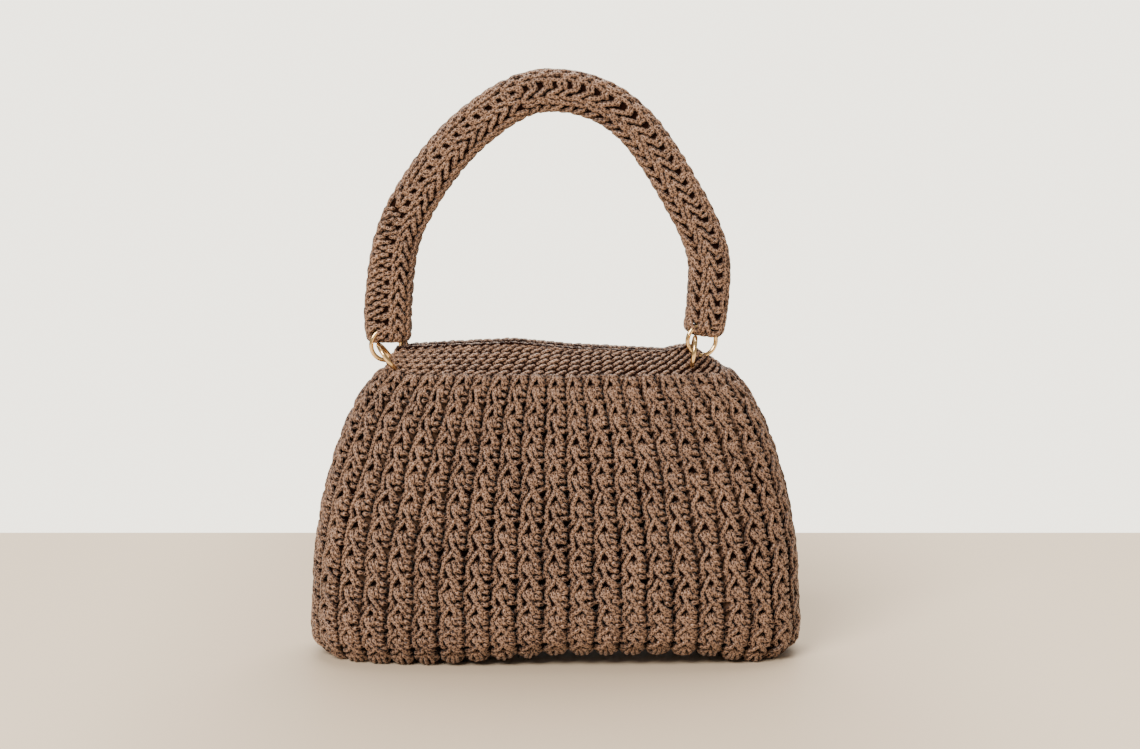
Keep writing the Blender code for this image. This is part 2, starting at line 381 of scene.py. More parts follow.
def loft(name: str, loops: Sequence[Array], look: Material, round_trip: bool = False) -> Object:
    """Makes a closed skin through loops of as many points, by extruding a circle's edges.

    Args:
        name: the piece's name.
        loops: the loops in order.
        look: its material.
        round_trip: whether the last loop is joined to the first, instead of both being filled.

    Returns:
        The object, smooth, facing out and at the origin.
    """
    bm = bmesh.new()
    count = len(loops[0])
    step = bm.verts.layers.int.new("step")
    made = bmesh.ops.create_circle(bm, segments=count, radius=1.0)
    for index, vert in enumerate(made["verts"]):
        vert[step] = index
        vert.co = loops[0][index]
    edges = list(bm.edges)
    first = edges
    for loop in loops[1:]:
        grown = bmesh.ops.extrude_edge_only(bm, edges=edges)["geom"]
        for item in grown:
            if isinstance(item, bmesh.types.BMVert):
                item.co = loop[item[step]]
        edges = [item for item in grown if isinstance(item, bmesh.types.BMEdge)]
        edges = [edge for edge in edges if edge.is_boundary]
    if round_trip:
        bmesh.ops.bridge_loops(bm, edges=first + edges)
    else:
        bmesh.ops.contextual_create(bm, geom=first)
        bmesh.ops.contextual_create(bm, geom=edges)
    bmesh.ops.recalc_face_normals(bm, faces=bm.faces)
    piece = meshed(name, bm, look)
    piece.data.shade_smooth()
    piece.data.set_sharp_from_angle(angle=SHARP_ANGLE)
    return piece


@dataclass
class Wiring:
    """Adds nodes to a tree and fills their inputs."""

    tree: NodeTree

    def fill(self, node: Node, inputs: dict[str | int, Any]) -> None:
        """Gives inputs their links, colours or numbers, by the inputs' names or places."""
        for title, value in inputs.items():
            socket = node.inputs[title]
            if isinstance(value, NodeSocket):
                self.tree.links.new(value, socket)
            elif isinstance(value, tuple):
                socket.default_value = (*value, 1.0)
            else:
                socket.default_value = value

    def add(self, kind: str, inputs: dict[str | int, Any] | None = None, **settings: Any) -> Node:
        """Adds a shader node with its settings and fills its inputs."""
        node = self.tree.nodes.new("ShaderNode" + kind)
        for title, value in settings.items():
            setattr(node, title, value)
        self.fill(node, inputs or {})
        return node

    def calc(self, kind: str, *values: Any, clamped: bool = False) -> NodeSocket:
        """Adds a Math node and gives its result."""
        return self.add("Math", dict(enumerate(values)), operation=kind, use_clamp=clamped).outputs[0]

    def mixed(self, share: Any, first: Any, second: Any) -> NodeSocket:
        """Adds a Mix node for two colours and gives its result."""
        return self.add("Mix", {"Factor": share, "A": first, "B": second}, data_type="RGBA").outputs["Result"]

    def eased(self, value: Any, low: float, high: float, start: float, stop: float) -> NodeSocket:
        """Adds a smooth Map Range node and gives its result."""
        ends = {"Value": value, "From Min": low, "From Max": high, "To Min": start, "To Max": stop}
        return self.add("MapRange", ends, interpolation_type="SMOOTHSTEP").outputs["Result"]

    def place(self) -> NodeSocket:
        """Adds Object coordinates and gives them."""
        return self.add("TexCoord").outputs["Object"]


def started(name: str) -> tuple[Material, Wiring, Node]:
    """Starts a material, and gives it with its wiring and its Principled node."""
    made = bpy.data.materials.new(name)
    made.use_nodes = True
    return made, Wiring(made.node_tree), made.node_tree.nodes["Principled BSDF"]


def chain_knit_group() -> NodeTree:
    """Builds the group that draws a knitted cord's small chain links along its own UV map.

    Returns:
        The group. It takes the map and how many wales go round the cord, and gives the height of the
        links, the pits in them, the gaps between them and how near a place is to the top of the cord,
        each from 0 to 1.
    """
    group = bpy.data.node_groups.new("chain_knit", "ShaderNodeTree")
    face = group.interface
    face.new_socket("Map", in_out="INPUT", socket_type="NodeSocketVector")
    face.new_socket("Wales", in_out="INPUT", socket_type="NodeSocketFloat")
    for title in ("Height", "Pit", "Gap", "Top"):
        face.new_socket(title, in_out="OUTPUT", socket_type="NodeSocketFloat")
    entry = group.nodes.new("NodeGroupInput")
    out = group.nodes.new("NodeGroupOutput")
    wires = Wiring(group)
    calc = wires.calc
    split = wires.add("SeparateXYZ", {0: entry.outputs["Map"]})
    wale = calc("MULTIPLY", split.outputs["Y"], entry.outputs["Wales"])
    across = calc("SUBTRACT", calc("FRACT", calc("ADD", wale, 0.75)), 0.5)
    slant = calc("MULTIPLY", calc("ABSOLUTE", across), 0.8)
    along = calc("SUBTRACT", calc("FRACT", calc("ADD", split.outputs["X"], slant)), 0.5)
    wide = calc("MULTIPLY", across, 1.15)
    reach = calc("SQRT", calc("ADD", calc("MULTIPLY", along, along), calc("MULTIPLY", wide, wide)))
    pit = wires.eased(reach, 0.12, 0.30, 1.0, 0.0)
    gap = wires.eased(reach, 0.42, 0.60, 0.0, 1.0)
    height = calc("SUBTRACT", calc("SUBTRACT", 1.0, calc("MULTIPLY", pit, 0.7)), gap)
    # How near the cord's top a place is; the cord finish paints light on the top and shade on the flanks with
    # it
    facing = calc("SINE", calc("MULTIPLY", split.outputs["Y"], 2 * math.pi))
    top = wires.eased(facing, -0.60, 0.55, 0.0, 1.0)
    wires.fill(out, {"Height": height, "Pit": pit, "Gap": gap, "Top": top})
    return group


@dataclass(frozen=True)
class CordFinish:
    """Satin knitted cord: its colours, its shine and how deep its chain links are.

    The lit shares say how much a strand's own tone, the drift of the whole work, a link's height and the
    cord's top lighten it from the middle colour to the light one. The tone and drift are the cord's own;
    the link's height and the cord's top are a painted highlight, so light and middle are a lit and a
    shaded copy of the cord. The dark shares say how far painted shade darkens its flanks, the gaps and
    pits of its links and its sunken turns, towards the near-black hollow colour, which is painted shade.
    """

    name: str
    # light is the cord's lit colour and middle its shaded copy; hollow is the near-black painted shade
    light: Colour
    middle: Colour
    hollow: Colour
    roughness: float = 0.38
    link_depth: float = 0.35 * MM
    link_strength: float = 0.9
    shade: float = -0.78
    shine: float = 0.55
    sheen: float = 0.12
    sheen_roughness: float = 0.4
    wales: float = 3.0
    drift_scale: float = 38.0
    drift_detail: float = 3.0
    lit_tone: float = 0.10
    lit_drift: float = 0.4
    painted_light_link: float = 0.55
    painted_light_top: float = 0.65
    painted_shade_flank: float = 0.60
    painted_shade_gap: float = 0.45
    painted_shade_pit: float = 0.65
    painted_shade_deep: float = 0.90

    def material(self, knit: NodeTree) -> Material:
        """Builds the cord's material on the chain knit group."""
        made, wires, shader = started(self.name)
        calc = wires.calc
        uv = wires.add("UVMap", uv_map="along_cord")
        chain = wires.add("Group", node_tree=knit)
        wires.fill(chain, {"Map": uv.outputs["UV"], "Wales": self.wales})
        height, pit, gap, top = (chain.outputs[title] for title in ("Height", "Pit", "Gap", "Top"))
        tone = wires.add("Attribute", attribute_name="tone").outputs["Fac"]
        deep = wires.add("Attribute", attribute_name="deep").outputs["Fac"]
        grain = {"Vector": wires.place(), "Scale": self.drift_scale, "Detail": self.drift_detail}
        drift = wires.add("TexNoise", grain).outputs["Fac"]

        # The strand's own tone and the work's drift, then a painted highlight on the links' crests and the
        # cord's top, mix the shaded middle colour towards the lit light one
        varied = calc("MULTIPLY_ADD", tone, self.lit_tone, drift)
        lit = calc("MULTIPLY_ADD", varied, self.lit_drift, self.shade)
        lit = calc("MULTIPLY_ADD", height, self.painted_light_link, lit)
        lit = calc("MULTIPLY_ADD", top, self.painted_light_top, lit, clamped=True)
        shade = wires.mixed(lit, self.middle, self.light)

        # Painted shade: the cord's flanks, the gaps and pits of its links and its sunken turns go towards the
        # near-black hollow colour and lose their shine
        holes = calc("MULTIPLY", calc("SUBTRACT", 1.0, top), self.painted_shade_flank)
        holes = calc("MULTIPLY_ADD", gap, self.painted_shade_gap, holes)
        holes = calc("MULTIPLY_ADD", pit, self.painted_shade_pit, holes)
        holes = calc("MULTIPLY_ADD", deep, self.painted_shade_deep, holes, clamped=True)
        links = {"Strength": self.link_strength, "Distance": self.link_depth, "Height": height}
        wires.fill(shader, {
            "Base Color": wires.mixed(holes, shade, self.hollow),
            "Normal": wires.add("Bump", links).outputs["Normal"],
            "Roughness": self.roughness,
            "Specular IOR Level": calc("MULTIPLY_ADD", holes, -self.shine, self.shine),
            "Sheen Weight": self.sheen,
            "Sheen Roughness": self.sheen_roughness,
        })
        return made


@dataclass(frozen=True)
class HollowFinish:
    """Dim cord work that shows between the stitches, there in near-black painted shade, and inside the bag.
    """

    name: str
    dark: Colour
    pale: Colour
    stitch: float = 5.5 * MM
    uneven: float = 0.55
    hump: float = 0.8 * MM
    roughness: float = 0.95
    shine: float = 0.05

    def material(self) -> Material:
        """Builds the material, whose rows of small humps follow Object coordinates."""
        made, wires, shader = started(self.name)
        grain = {"Vector": wires.place(), "Scale": 1 / self.stitch, "Randomness": self.uneven}
        cells = wires.add("TexVoronoi", grain).outputs["Distance"]
        bump = wires.add("Bump", {"Distance": self.hump, "Height": cells}, invert=True)
        wires.fill(shader, {
            "Base Color": wires.mixed(cells, self.pale, self.dark),
            "Normal": bump.outputs["Normal"],
            "Roughness": self.roughness,
            "Specular IOR Level": self.shine,
        })
        return made


@dataclass(frozen=True)
class BrassFinish:
    """Polished pale gold with faint wear."""

    name: str
    colour: Colour
    worn: Colour
    grain: float = 420.0
    detail: float = 4.0
    bright: float = 0.14
    dull: float = 0.24

    def material(self) -> Material:
        """Builds the rings' material."""
        made, wires, shader = started(self.name)
        grain = {"Vector": wires.place(), "Scale": self.grain, "Detail": self.detail}
        wear = wires.add("TexNoise", grain).outputs["Fac"]
        polish = wires.add("MapRange", {"Value": wear, "To Min": self.bright, "To Max": self.dull})
        wires.fill(shader, {
            "Base Color": wires.mixed(wear, self.colour, self.worn),
            "Roughness": polish.outputs["Result"],
            "Metallic": 1.0,
        })
        return made


# Levels of the body: shares of its height, half width and half depth, squareness, share of the rib
SECTIONS = np.array((
    (0.000, 0.895, 0.80, 3.2, 0.35),
    (0.022, 0.945, 0.89, 3.2, 0.75),
    (0.063, 0.995, 0.96, 3.1, 1.00),
    (0.125, 1.000, 0.99, 3.1, 1.00),
    (0.215, 0.992, 1.00, 3.0, 1.00),
    (0.370, 0.984, 0.97, 3.0, 1.00),
    (0.560, 0.945, 0.88, 2.9, 1.00),
    (0.700, 0.898, 0.79, 2.8, 1.00),
    (0.815, 0.850, 0.71, 2.7, 0.95),
    (0.895, 0.802, 0.65, 2.7, 0.90),
    (0.955, 0.758, 0.61, 2.6, 0.75),
    (1.000, 0.712, 0.59, 2.6, 0.45),
))

# Where each row of the body starts: the rows from the base's edge and the share of the body's height
ROW_STARTS = np.array(((0.0, 0.0), (1.0, 0.064), (2.0, 0.128), (3.0, 0.216), (11.0, 1.0)))

# The arch under the base: places as shares of half the body's width, and shares of its rise
ARCH = np.array((
    (-0.74, 0.00), (-0.46, 0.33), (-0.24, 0.58), (0.00, 1.00), (0.45, 1.00), (0.62, 0.80), (0.80, 0.00),
))

# The strands of a rib's stitch, each from where it comes up to where it goes down again
POST = Strand(
    right=(-0.14, -0.22, -0.30, -0.35, -0.36, -0.32, -0.24, -0.14, -0.05, 0.01),
    up=(-0.16, -0.05, 0.10, 0.27, 0.44, 0.60, 0.75, 0.89, 1.01, 1.11),
    height=(-2.2, -0.6, 0.0, 0.3, 0.3, 0.5, 0.7, 0.7, 0.0, -1.9),
    steps=14,
)
SHOULDER = Strand(
    right=(-0.50, -0.47, -0.42, -0.35, -0.28, -0.22),
    up=(0.50, 0.62, 0.76, 0.90, 1.02, 1.14),
    height=(-2.2, -0.9, -0.2, 0.1, -0.1, -1.9),
)
LONG = Strand(
    right=(-0.26, -0.22, -0.15, -0.03, 0.11, 0.23, 0.33, 0.40),
    up=(0.67, 0.54, 0.38, 0.21, 0.05, -0.08, -0.20, -0.31),
    height=(-1.9, -0.4, 0.3, 0.6, 0.6, 0.3, -0.3, -1.9),
    steps=12,
)
RIGHT_LEG = Strand(
    right=(-0.01, 0.06, 0.14, 0.20, 0.23),
    up=(1.01, 0.93, 0.82, 0.69, 0.56),
    height=(-1.7, -0.1, 0.4, 0.3, -1.1),
    steps=8,
)
MIDDLE_LEFT = Strand(
    right=(-0.06, -0.10, -0.07, -0.01, 0.05),
    up=(0.67, 0.57, 0.46, 0.35, 0.24),
    height=(-2.6, -0.6, 0.2, 0.2, -1.1),
    steps=7,
)
MIDDLE_RIGHT = Strand(
    right=(0.05, 0.06, 0.10, 0.16, 0.21),
    up=(0.68, 0.57, 0.45, 0.33, 0.22),
    height=(-2.6, -0.4, 0.4, 0.2, -1.1),
    steps=7,
)


def knob(right: float, up: float, fall: float) -> Strand:
    """A short turn of cord that bulges out and then goes down into the groove.

    Args:
        right: its middle, right in the stitch; its groove is on that side of the rib.
        up: its middle, up in the stitch.
        fall: how far it comes down towards the groove.
    """
    side = math.copysign(1.0, right)
    return Strand(
        right=[right + part * side for part in (-0.17, -0.09, 0.0, 0.08, 0.13)],
        up=[up + part * fall for part in (1.2, 0.6, 0.0, -0.6, -1.1)],
        height=(-1.3, 0.1, 0.3, -0.4, -2.2),
        steps=6,
        thick=1.14,
    )


RIB_STRANDS = (
    POST,
    SHOULDER,
    LONG,
    RIGHT_LEG,
    MIDDLE_LEFT,
    MIDDLE_RIGHT,
    knob(0.35, 0.74, 0.06),
    knob(0.34, 0.53, 0.06),
    knob(0.33, 0.32, 0.05),
    knob(0.37, 0.09, 0.03),
    knob(-0.42, 0.16, 0.05),
)

# What closes the top of the ribs under the band: a long strand, one on its right and one on its left
RIM_STRANDS = (
    Strand(
        right=(-0.10, 0.02, 0.14, 0.25, 0.35, 0.42),
        up=(0.99, 0.97, 0.92, 0.85, 0.77, 0.68),
        height=(-1.2, 0.3, 0.4, 0.2, -0.4, -1.8),
    ),
    Strand((0.22, 0.32, 0.42, 0.48), (1.00, 0.95, 0.91, 0.88), (-1.2, 0.1, -0.4, -1.8), 6),
    Strand((-0.48, -0.40, -0.30, -0.18), (0.90, 0.93, 0.96, 0.99), (-1.6, -0.1, 0.2, -1.2), 6),
)

# The strands of the lowest row: one up each side of the hole, the fan under it and the lip round the edge
EDGE_LEG = Strand(
    right=(-0.42, -0.41, -0.36, -0.26, -0.14, -0.04, 0.02),
    up=(0.34, 0.46, 0.60, 0.75, 0.89, 1.03, 1.13),
    height=(-1.9, -0.7, 0.0, 0.4, 0.5, -0.3, -1.9),
    steps=10,
)


def fan(step: int) -> Strand:
    """A strand that spreads from the hole and curls under the edge, at a place from -2 on the left to 2."""
    drop = 0.02 * step * step
    return Strand(
        right=[part * step for part in (0.05, 0.11, 0.16, 0.195, 0.185, 0.165, 0.145)],
        up=(0.70 - drop, 0.58 - drop, 0.42, 0.22, 0.06, -0.07, -0.18),
        height=(-2.4, -0.3, 0.4, 0.5, 0.3, -0.7, -2.4),
        steps=11,
    )


EDGE_LIP = Strand(
    right=(-0.46, -0.42, -0.31, -0.16, 0.00, 0.16, 0.31, 0.42, 0.46),
    up=(0.40, 0.22, 0.02, -0.13, -0.18, -0.13, 0.02, 0.22, 0.40),
    height=(-1.8, -0.3, 0.2, 0.4, 0.5, 0.4, 0.2, -0.3, -1.8),
    steps=15,
)
EDGE_STRANDS = (EDGE_LEG, EDGE_LEG.scaled(-1, 1), EDGE_LIP) + tuple(fan(step) for step in range(-2, 3))

# A plain stitch of the band and the base: one slanted strand that overlaps the next
PLAIN = Strand(
    right=(-0.62, -0.36, 0.02, 0.38, 0.66),
    up=(-0.42, -0.27, 0.00, 0.24, 0.40),
    height=(-1.5, -0.3, 0.1, -0.2, -1.5),
    steps=8,
)

# The strands along the band's lip
LIP_STRAND = Strand(
    right=(-0.78, -0.45, 0.00, 0.45, 0.80),
    up=(-0.12, -0.10, 0.00, 0.10, 0.14),
    height=(-1.4, 0.0, 0.4, 0.3, -1.2),
    steps=8,
)

# The handle's strands: long ones, the two legs of a chain link, and short bars, lumps and leaves
RAIL = Strand(
    right=(-0.10, -0.08, -0.03, 0.03, 0.08, 0.10),
    up=(-0.18, 0.04, 0.34, 0.64, 0.92, 1.12),
    height=(-1.6, -0.1, 0.3, 0.3, -0.1, -1.6),
    thick=1.1,
)
SHORT_LEG = Strand(
    right=(-0.22, -0.22, -0.18, -0.11, 0.00, 0.08),
    up=(-0.54, -0.32, -0.02, 0.26, 0.48, 0.62),
    height=(-1.6, -0.2, 0.2, 0.5, 0.3, -1.6),
    thick=1.12,
)
LONG_LEG = Strand(
    right=(-0.06, 0.03, 0.17, 0.34, 0.52, 0.68, 0.79),
    up=(0.64, 0.50, 0.27, -0.01, -0.28, -0.50, -0.66),
    height=(-1.6, 0.1, 0.7, 0.7, 0.4, -0.2, -1.6),
    steps=11,
    thick=1.2,
)
BAR = Strand(
    right=(-0.42, -0.27, 0.00, 0.26, 0.40),
    up=(-0.10, -0.06, 0.00, 0.06, 0.10),
    height=(-1.6, -0.2, 0.0, -0.2, -1.6),
    steps=7,
    thick=1.05,
)
LUMP = Strand(
    right=(-0.44, -0.29, -0.02, 0.24, 0.36),
    up=(-0.26, -0.20, 0.00, 0.16, 0.26),
    height=(-1.6, 0.1, 0.9, 0.4, -1.6),
    steps=8,
    thick=1.45,
)
LEAF = Strand(
    right=(0.14, 0.12, 0.04, -0.05, -0.13, -0.16),
    up=(-0.44, -0.26, 0.04, 0.34, 0.60, 0.80),
    height=(-1.6, 0.0, 0.8, 0.7, 0.0, -1.6),
    thick=1.25,
)


class Column(NamedTuple):
    """A column of the handle: its strand, place, start in stitches, and the shares it runs between."""

    strand: Strand
    right: float
    up: float
    first: float
    last: float


# The columns beside the line of holes and outside it, with places counted from that line
HOLE_COLUMNS = (
    Column(BAR, 0.00, -0.16, 0.0, 1.0),
    Column(BAR, 0.00, 0.14, 0.0, 1.0),
    Column(BAR, -0.62, -0.12, 0.0, 0.2),
    Column(BAR, -0.60, 0.36, 0.0, 0.2),
    Column(LUMP, -1.32, 0.05, 0.0, 0.2),
    Column(BAR, -1.30, 0.52, 0.0, 0.2),
    Column(RAIL, -0.40, 0.00, 0.2, 1.0),
    Column(LEAF, -0.86, 0.30, 0.2, 1.0),
    Column(LEAF, -1.34, 0.80, 0.2, 1.0),
    Column(RAIL, -1.84, 0.50, 0.0, 1.0),
)

# The columns of a chain, which points up on both arms; their places are counted from where it starts
CHAIN_COLUMNS = (
    Column(RAIL, 0.36, 0.00, 0.0, 0.45),
    Column(SHORT_LEG, 0.88, 0.10, 0.0, 0.45),
    Column(LONG_LEG, 0.90, 0.10, 0.0, 0.45),
    Column(LONG_LEG.scaled(-1, -1), 1.02, 0.50, 0.45, 1.0),
    Column(SHORT_LEG.scaled(-1, -1), 1.04, 0.50, 0.45, 1.0),
    Column(RAIL.scaled(-1, -1), 1.60, 0.90, 0.45, 1.0),
)


@dataclass
class RibbedBody:
    """The scalloped body: a shell in near-black painted shade and the stitches of its ribs and base."""

    finish: Material
    hollow: Material
    inside: Material
    ribs: int = 44
    rows: int = 11
    rib_depth: float = 3.2 * MM
    lobe_height: float = 4.6 * MM
    lobe_round: float = 0.96
    sway: float = 0.035
    cord_radius: float = 1.42 * MM
    slimmest: float = 0.84
    stray_right: float = 0.012
    stray_up: float = 0.025
    shell_wall: float = 1.6 * MM
    shell_sunk: float = 2.15
    arch_height: float = 8.0 * MM
    arch_reach: float = 60.0 * MM
    base_reach: float = 2.35
    base_start: float = 0.65
    base_blend: float = 22.0 * MM
    base_round: float = 5.2 * MM
    base_stitch: float = 6.4 * MM
    steps_round: int = 704
    levels_a_row: int = 10
    smoothing: int = 12
    samples: int = 400
    thinnest: float = 0.3 * MM

    def __post_init__(self) -> None:
        """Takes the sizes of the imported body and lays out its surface."""
        low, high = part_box("body")
        self.width, depth, self.height = (high[axis] - low[axis] for axis in range(3))
        self.half_width = self.width / 2 - self.rib_depth
        self.half_depth = depth / 2 - self.rib_depth
        self.row_height = self.height / self.rows
        self.rng = np.random.default_rng(11)
        self.share = np.linspace(0.0, 1.0, self.samples)
        table = read(self.share, SECTIONS[:, 0], SECTIONS[:, 1:])
        kernel = np.hanning(2 * self.smoothing + 1)
        kernel /= kernel.sum()
        padded = np.pad(table, ((self.smoothing,) * 2, (0, 0)), mode="reflect", reflect_type="odd")
        self.table = np.column_stack([np.convolve(column, kernel, mode="valid") for column in padded.T])

    @staticmethod
    def share_of(up: Array | float) -> Array | float:
        """The share of the body's height that lies at some rows from the base's edge."""
        return np.interp(up, *ROW_STARTS.T)

    def section(self, share: float) -> Array:
        """The body's width, depth, squareness and rib at a share of its height."""
        return read(share, self.share, self.table)[0]

    def arch_lift(self, x: Array, height: float) -> Array:
        """How far the arched base raises points at x, at this height."""
        rise = np.interp(x, ARCH[:, 0] * self.width / 2, ARCH[:, 1])
        return self.arch_height * rise * max(0.0, 1 - height / self.arch_reach) ** 2

    def loop(self, share: float, inset: float, count: int) -> Array:
        """The flat outline between the ribs at a share of the height, set in by some depth."""
        wide, deep, square, _ = self.section(share)
        half_width = self.half_width * wide - inset
        half_depth = max(self.half_depth * deep - inset, self.thinnest)
        return outline(half_width, half_depth, square, count)

    def level(self, up: float, inset: float, count: int) -> Array:
        """A loop of the surface between the ribs.

        Below the first row the points go straight in from that row's, so that the ribs stay upright.

        Args:
            up: rows above the base's edge, or below 0 for rows in from it underneath.
            inset: how far inside the surface.
            count: how many points.

        Returns:
            The loop's points.
        """
        share = float(self.share_of(up))
        under = max(-up, 0.0) * self.row_height
        loop = self.loop(share, under + inset, count)
        if up < 1.0:
            first = float(self.share_of(1.0))
            foot = self.loop(first, inset, count)
            ahead = np.roll(foot, -1, axis=0) - np.roll(foot, 1, axis=0)
            facing = np.column_stack([ahead[:, 1], -ahead[:, 0]]) / np.linalg.norm(ahead, axis=1)[:, None]
            lost = self.section(first) - self.section(share)
            drawn = facing**2 @ np.array([lost[0] * self.half_width, lost[1] * self.half_depth]) + under
            part = min(under / self.base_blend, 1.0)
            loop = loop * part + (foot - facing * drawn[:, None]) * (1 - part)
        height = share * self.height
        return np.column_stack([loop, height + self.arch_lift(loop[:, 0], height)])

    def patch(self) -> Patch:
        """The surface between the ribs, from under the base to the shoulder."""
        count = int((self.rows + self.base_reach) * self.levels_a_row) + 1
        ups = np.linspace(-self.base_reach, self.rows, count)
        grid = np.array([self.level(up, 0.0, self.steps_round) for up in ups])
        # Each rib ends in a lobe, so the lower edge rises between two ribs
        right = np.arange(self.steps_round) * self.ribs / self.steps_round
        off = 2 * (right - np.round(right))
        lobe = (1 - np.sqrt(1 - (self.lobe_round * off) ** 2)) / (1 - math.sqrt(1 - self.lobe_round**2))
        near = np.interp(ups, (-0.7, -0.15, 0.1, 1.0), (0.0, 1.0, 1.0, 0.0))
        grid[:, :, 2] += self.lobe_height * near[:, None] * lobe[None, :]
        return Patch(grid, self.ribs, -self.base_reach, self.rows, self.sway)

    def bulge(self, right: Array, up: Array) -> Array:
        """How far the ribs raise the surface at places round and up it."""
        share = np.interp(self.share_of(up), self.share, self.table[:, 3])
        # The lowest row keeps most of its rib, which fades out under the edge
        share = np.where(up < 1.0, np.maximum(share, 0.75), share) * np.clip(1 + up * 2, 0.0, 1.0)
        off = 2 * (right - np.round(right))
        return self.rib_depth * share * np.sqrt(np.clip(1 - off**2, 0.0, 1.0))

    def shell(self, patch: Patch) -> Object:
        """The shell behind the stitches in near-black painted shade, ribbed outside, hollow and open at the
        top.
        """
        back = self.shell_sunk * self.cord_radius
        count = self.ribs * 4
        right = np.arange(count) / 4
        under = [self.level(up, 0.0, count) for up in (-self.base_reach, -1.2, -0.3)]
        for loop in under:
            loop[:, 2] += back
        ups = [0.25 + 0.5 * i for i in range(22)] + [self.rows - 0.02]
        outer = []
        for up in ups:
            height = np.full(count, up)
            points, normals = patch.at(right, height)
            outer.append(points + normals * (self.bulge(right, height) - back)[:, None])
        inner = [self.level(up, back + self.shell_wall, count) for up in reversed(ups)]
        floor = [self.level(up, 0.0, count) for up in (-0.5, -self.base_reach)]
        for loop in floor:
            loop[:, 2] += back + self.shell_wall
        shell = loft("body_shell", under + outer + inner + floor, self.hollow)
        shell.data.materials.append(self.inside)
        # What faces the middle of the bag or lies on its floor gets the inside's look
        for face in shell.data.polygons:
            across = face.center.x * face.normal.x + face.center.y * face.normal.y
            if face.normal.z > 0.5 or across < 0:
                face.material_index = 1
        return shell

    def quarter(self, name: str, first: int, patch: Patch) -> Object:
        """The piece with a quarter of the ribs' stitches, from its first rib on."""
        ribs = np.arange(first, first + self.ribs // 4)
        layer = StitchLayer(patch, self.cord_radius, self.rng, loose=0.025, groove=2.2)
        kinds = ((EDGE_STRANDS, 0, 1), (RIB_STRANDS, 1, self.rows), (RIM_STRANDS, self.rows - 1, self.rows))
        for strands, low, high in kinds:
            right, up = (grid.ravel().astype(float) for grid in np.meshgrid(ribs, np.arange(low, high)))
            right = right + self.rng.normal(0, self.stray_right, right.shape)
            up = up + self.rng.normal(0, self.stray_up, up.shape)
            wide = np.interp(self.share_of(up), self.share, self.table[:, 0])
            shrink = np.clip(0.4 + 0.6 * wide, self.slimmest, 1.0)
            for strand in strands:
                layer.lay(strand, right, up, self.bulge, shrink)
        return layer.skein.joined(name, self.finish)

    def base(self, patch: Patch) -> Object:
        """The plain rounds of stitches under the base."""
        layer = StitchLayer(patch, self.cord_radius, self.rng)
        reach = (self.base_reach - self.base_start) * self.row_height
        rise = self.base_round / self.row_height
        rounds = int(reach / self.base_round)
        for index in range(rounds):
            up = -self.base_start - index * self.base_round / self.row_height
            loop = self.level(up, 0.0, self.samples)
            around = np.linalg.norm(np.diff(loop, axis=0, append=loop[:1]), axis=1).sum()
            count = int(around / self.base_stitch)
            share = self.ribs / count
            places = (np.arange(count) + 0.5 * (index % 2)) * share
            layer.lay(PLAIN.scaled(share, rise), places, np.full(count, up))
        return layer.skein.joined("base_cord", self.finish)

    def build(self) -> list[Object]:
        """Builds the body's pieces and ties them to the frame."""
        patch = self.patch()
        shell = self.shell(patch)
        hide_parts("body")
        pieces = [shell, self.base(patch)]
        for index, name in enumerate(("back_right", "back_left", "front_left", "front_right")):
            pieces.append(self.quarter("body_cord_" + name, index * self.ribs // 4, patch))
        for piece in pieces:
            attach(piece, "root")
        return pieces


# The band's lip: places as shares of half the mouth's width, and shares of its wave
LIP = np.array((
    (-1.00, -0.5), (-0.94, 0.0), (-0.45, 0.7), (-0.20, 1.0), (0.14, 0.0),
    (0.50, -0.5), (0.78, -0.9), (0.92, 0.1), (1.00, -0.4),
))


class BandRow(NamedTuple):
    """A level of the band: share of its height, lean to the mouth, and the inner face's way in and down."""

    up: float
    lean: float
    inset: float
    drop: float


BAND_ROWS = (
    BandRow(0.00, 0.00, 0.0, 0.0),
    BandRow(0.32, 0.27, 0.0, 0.0),
    BandRow(0.64, 0.60, 0.0, 0.0),
    BandRow(0.91, 0.95, 0.0, 0.0),
    BandRow(1.00, 1.00, 0.45, 0.0),
    BandRow(0.91, 0.95, 0.85, 0.45),
    BandRow(0.64, 0.60, 0.80, 0.70),
    BandRow(0.32, 0.27, 0.95, 0.60),
    BandRow(0.02, 0.02, 1.15, 0.00),
)


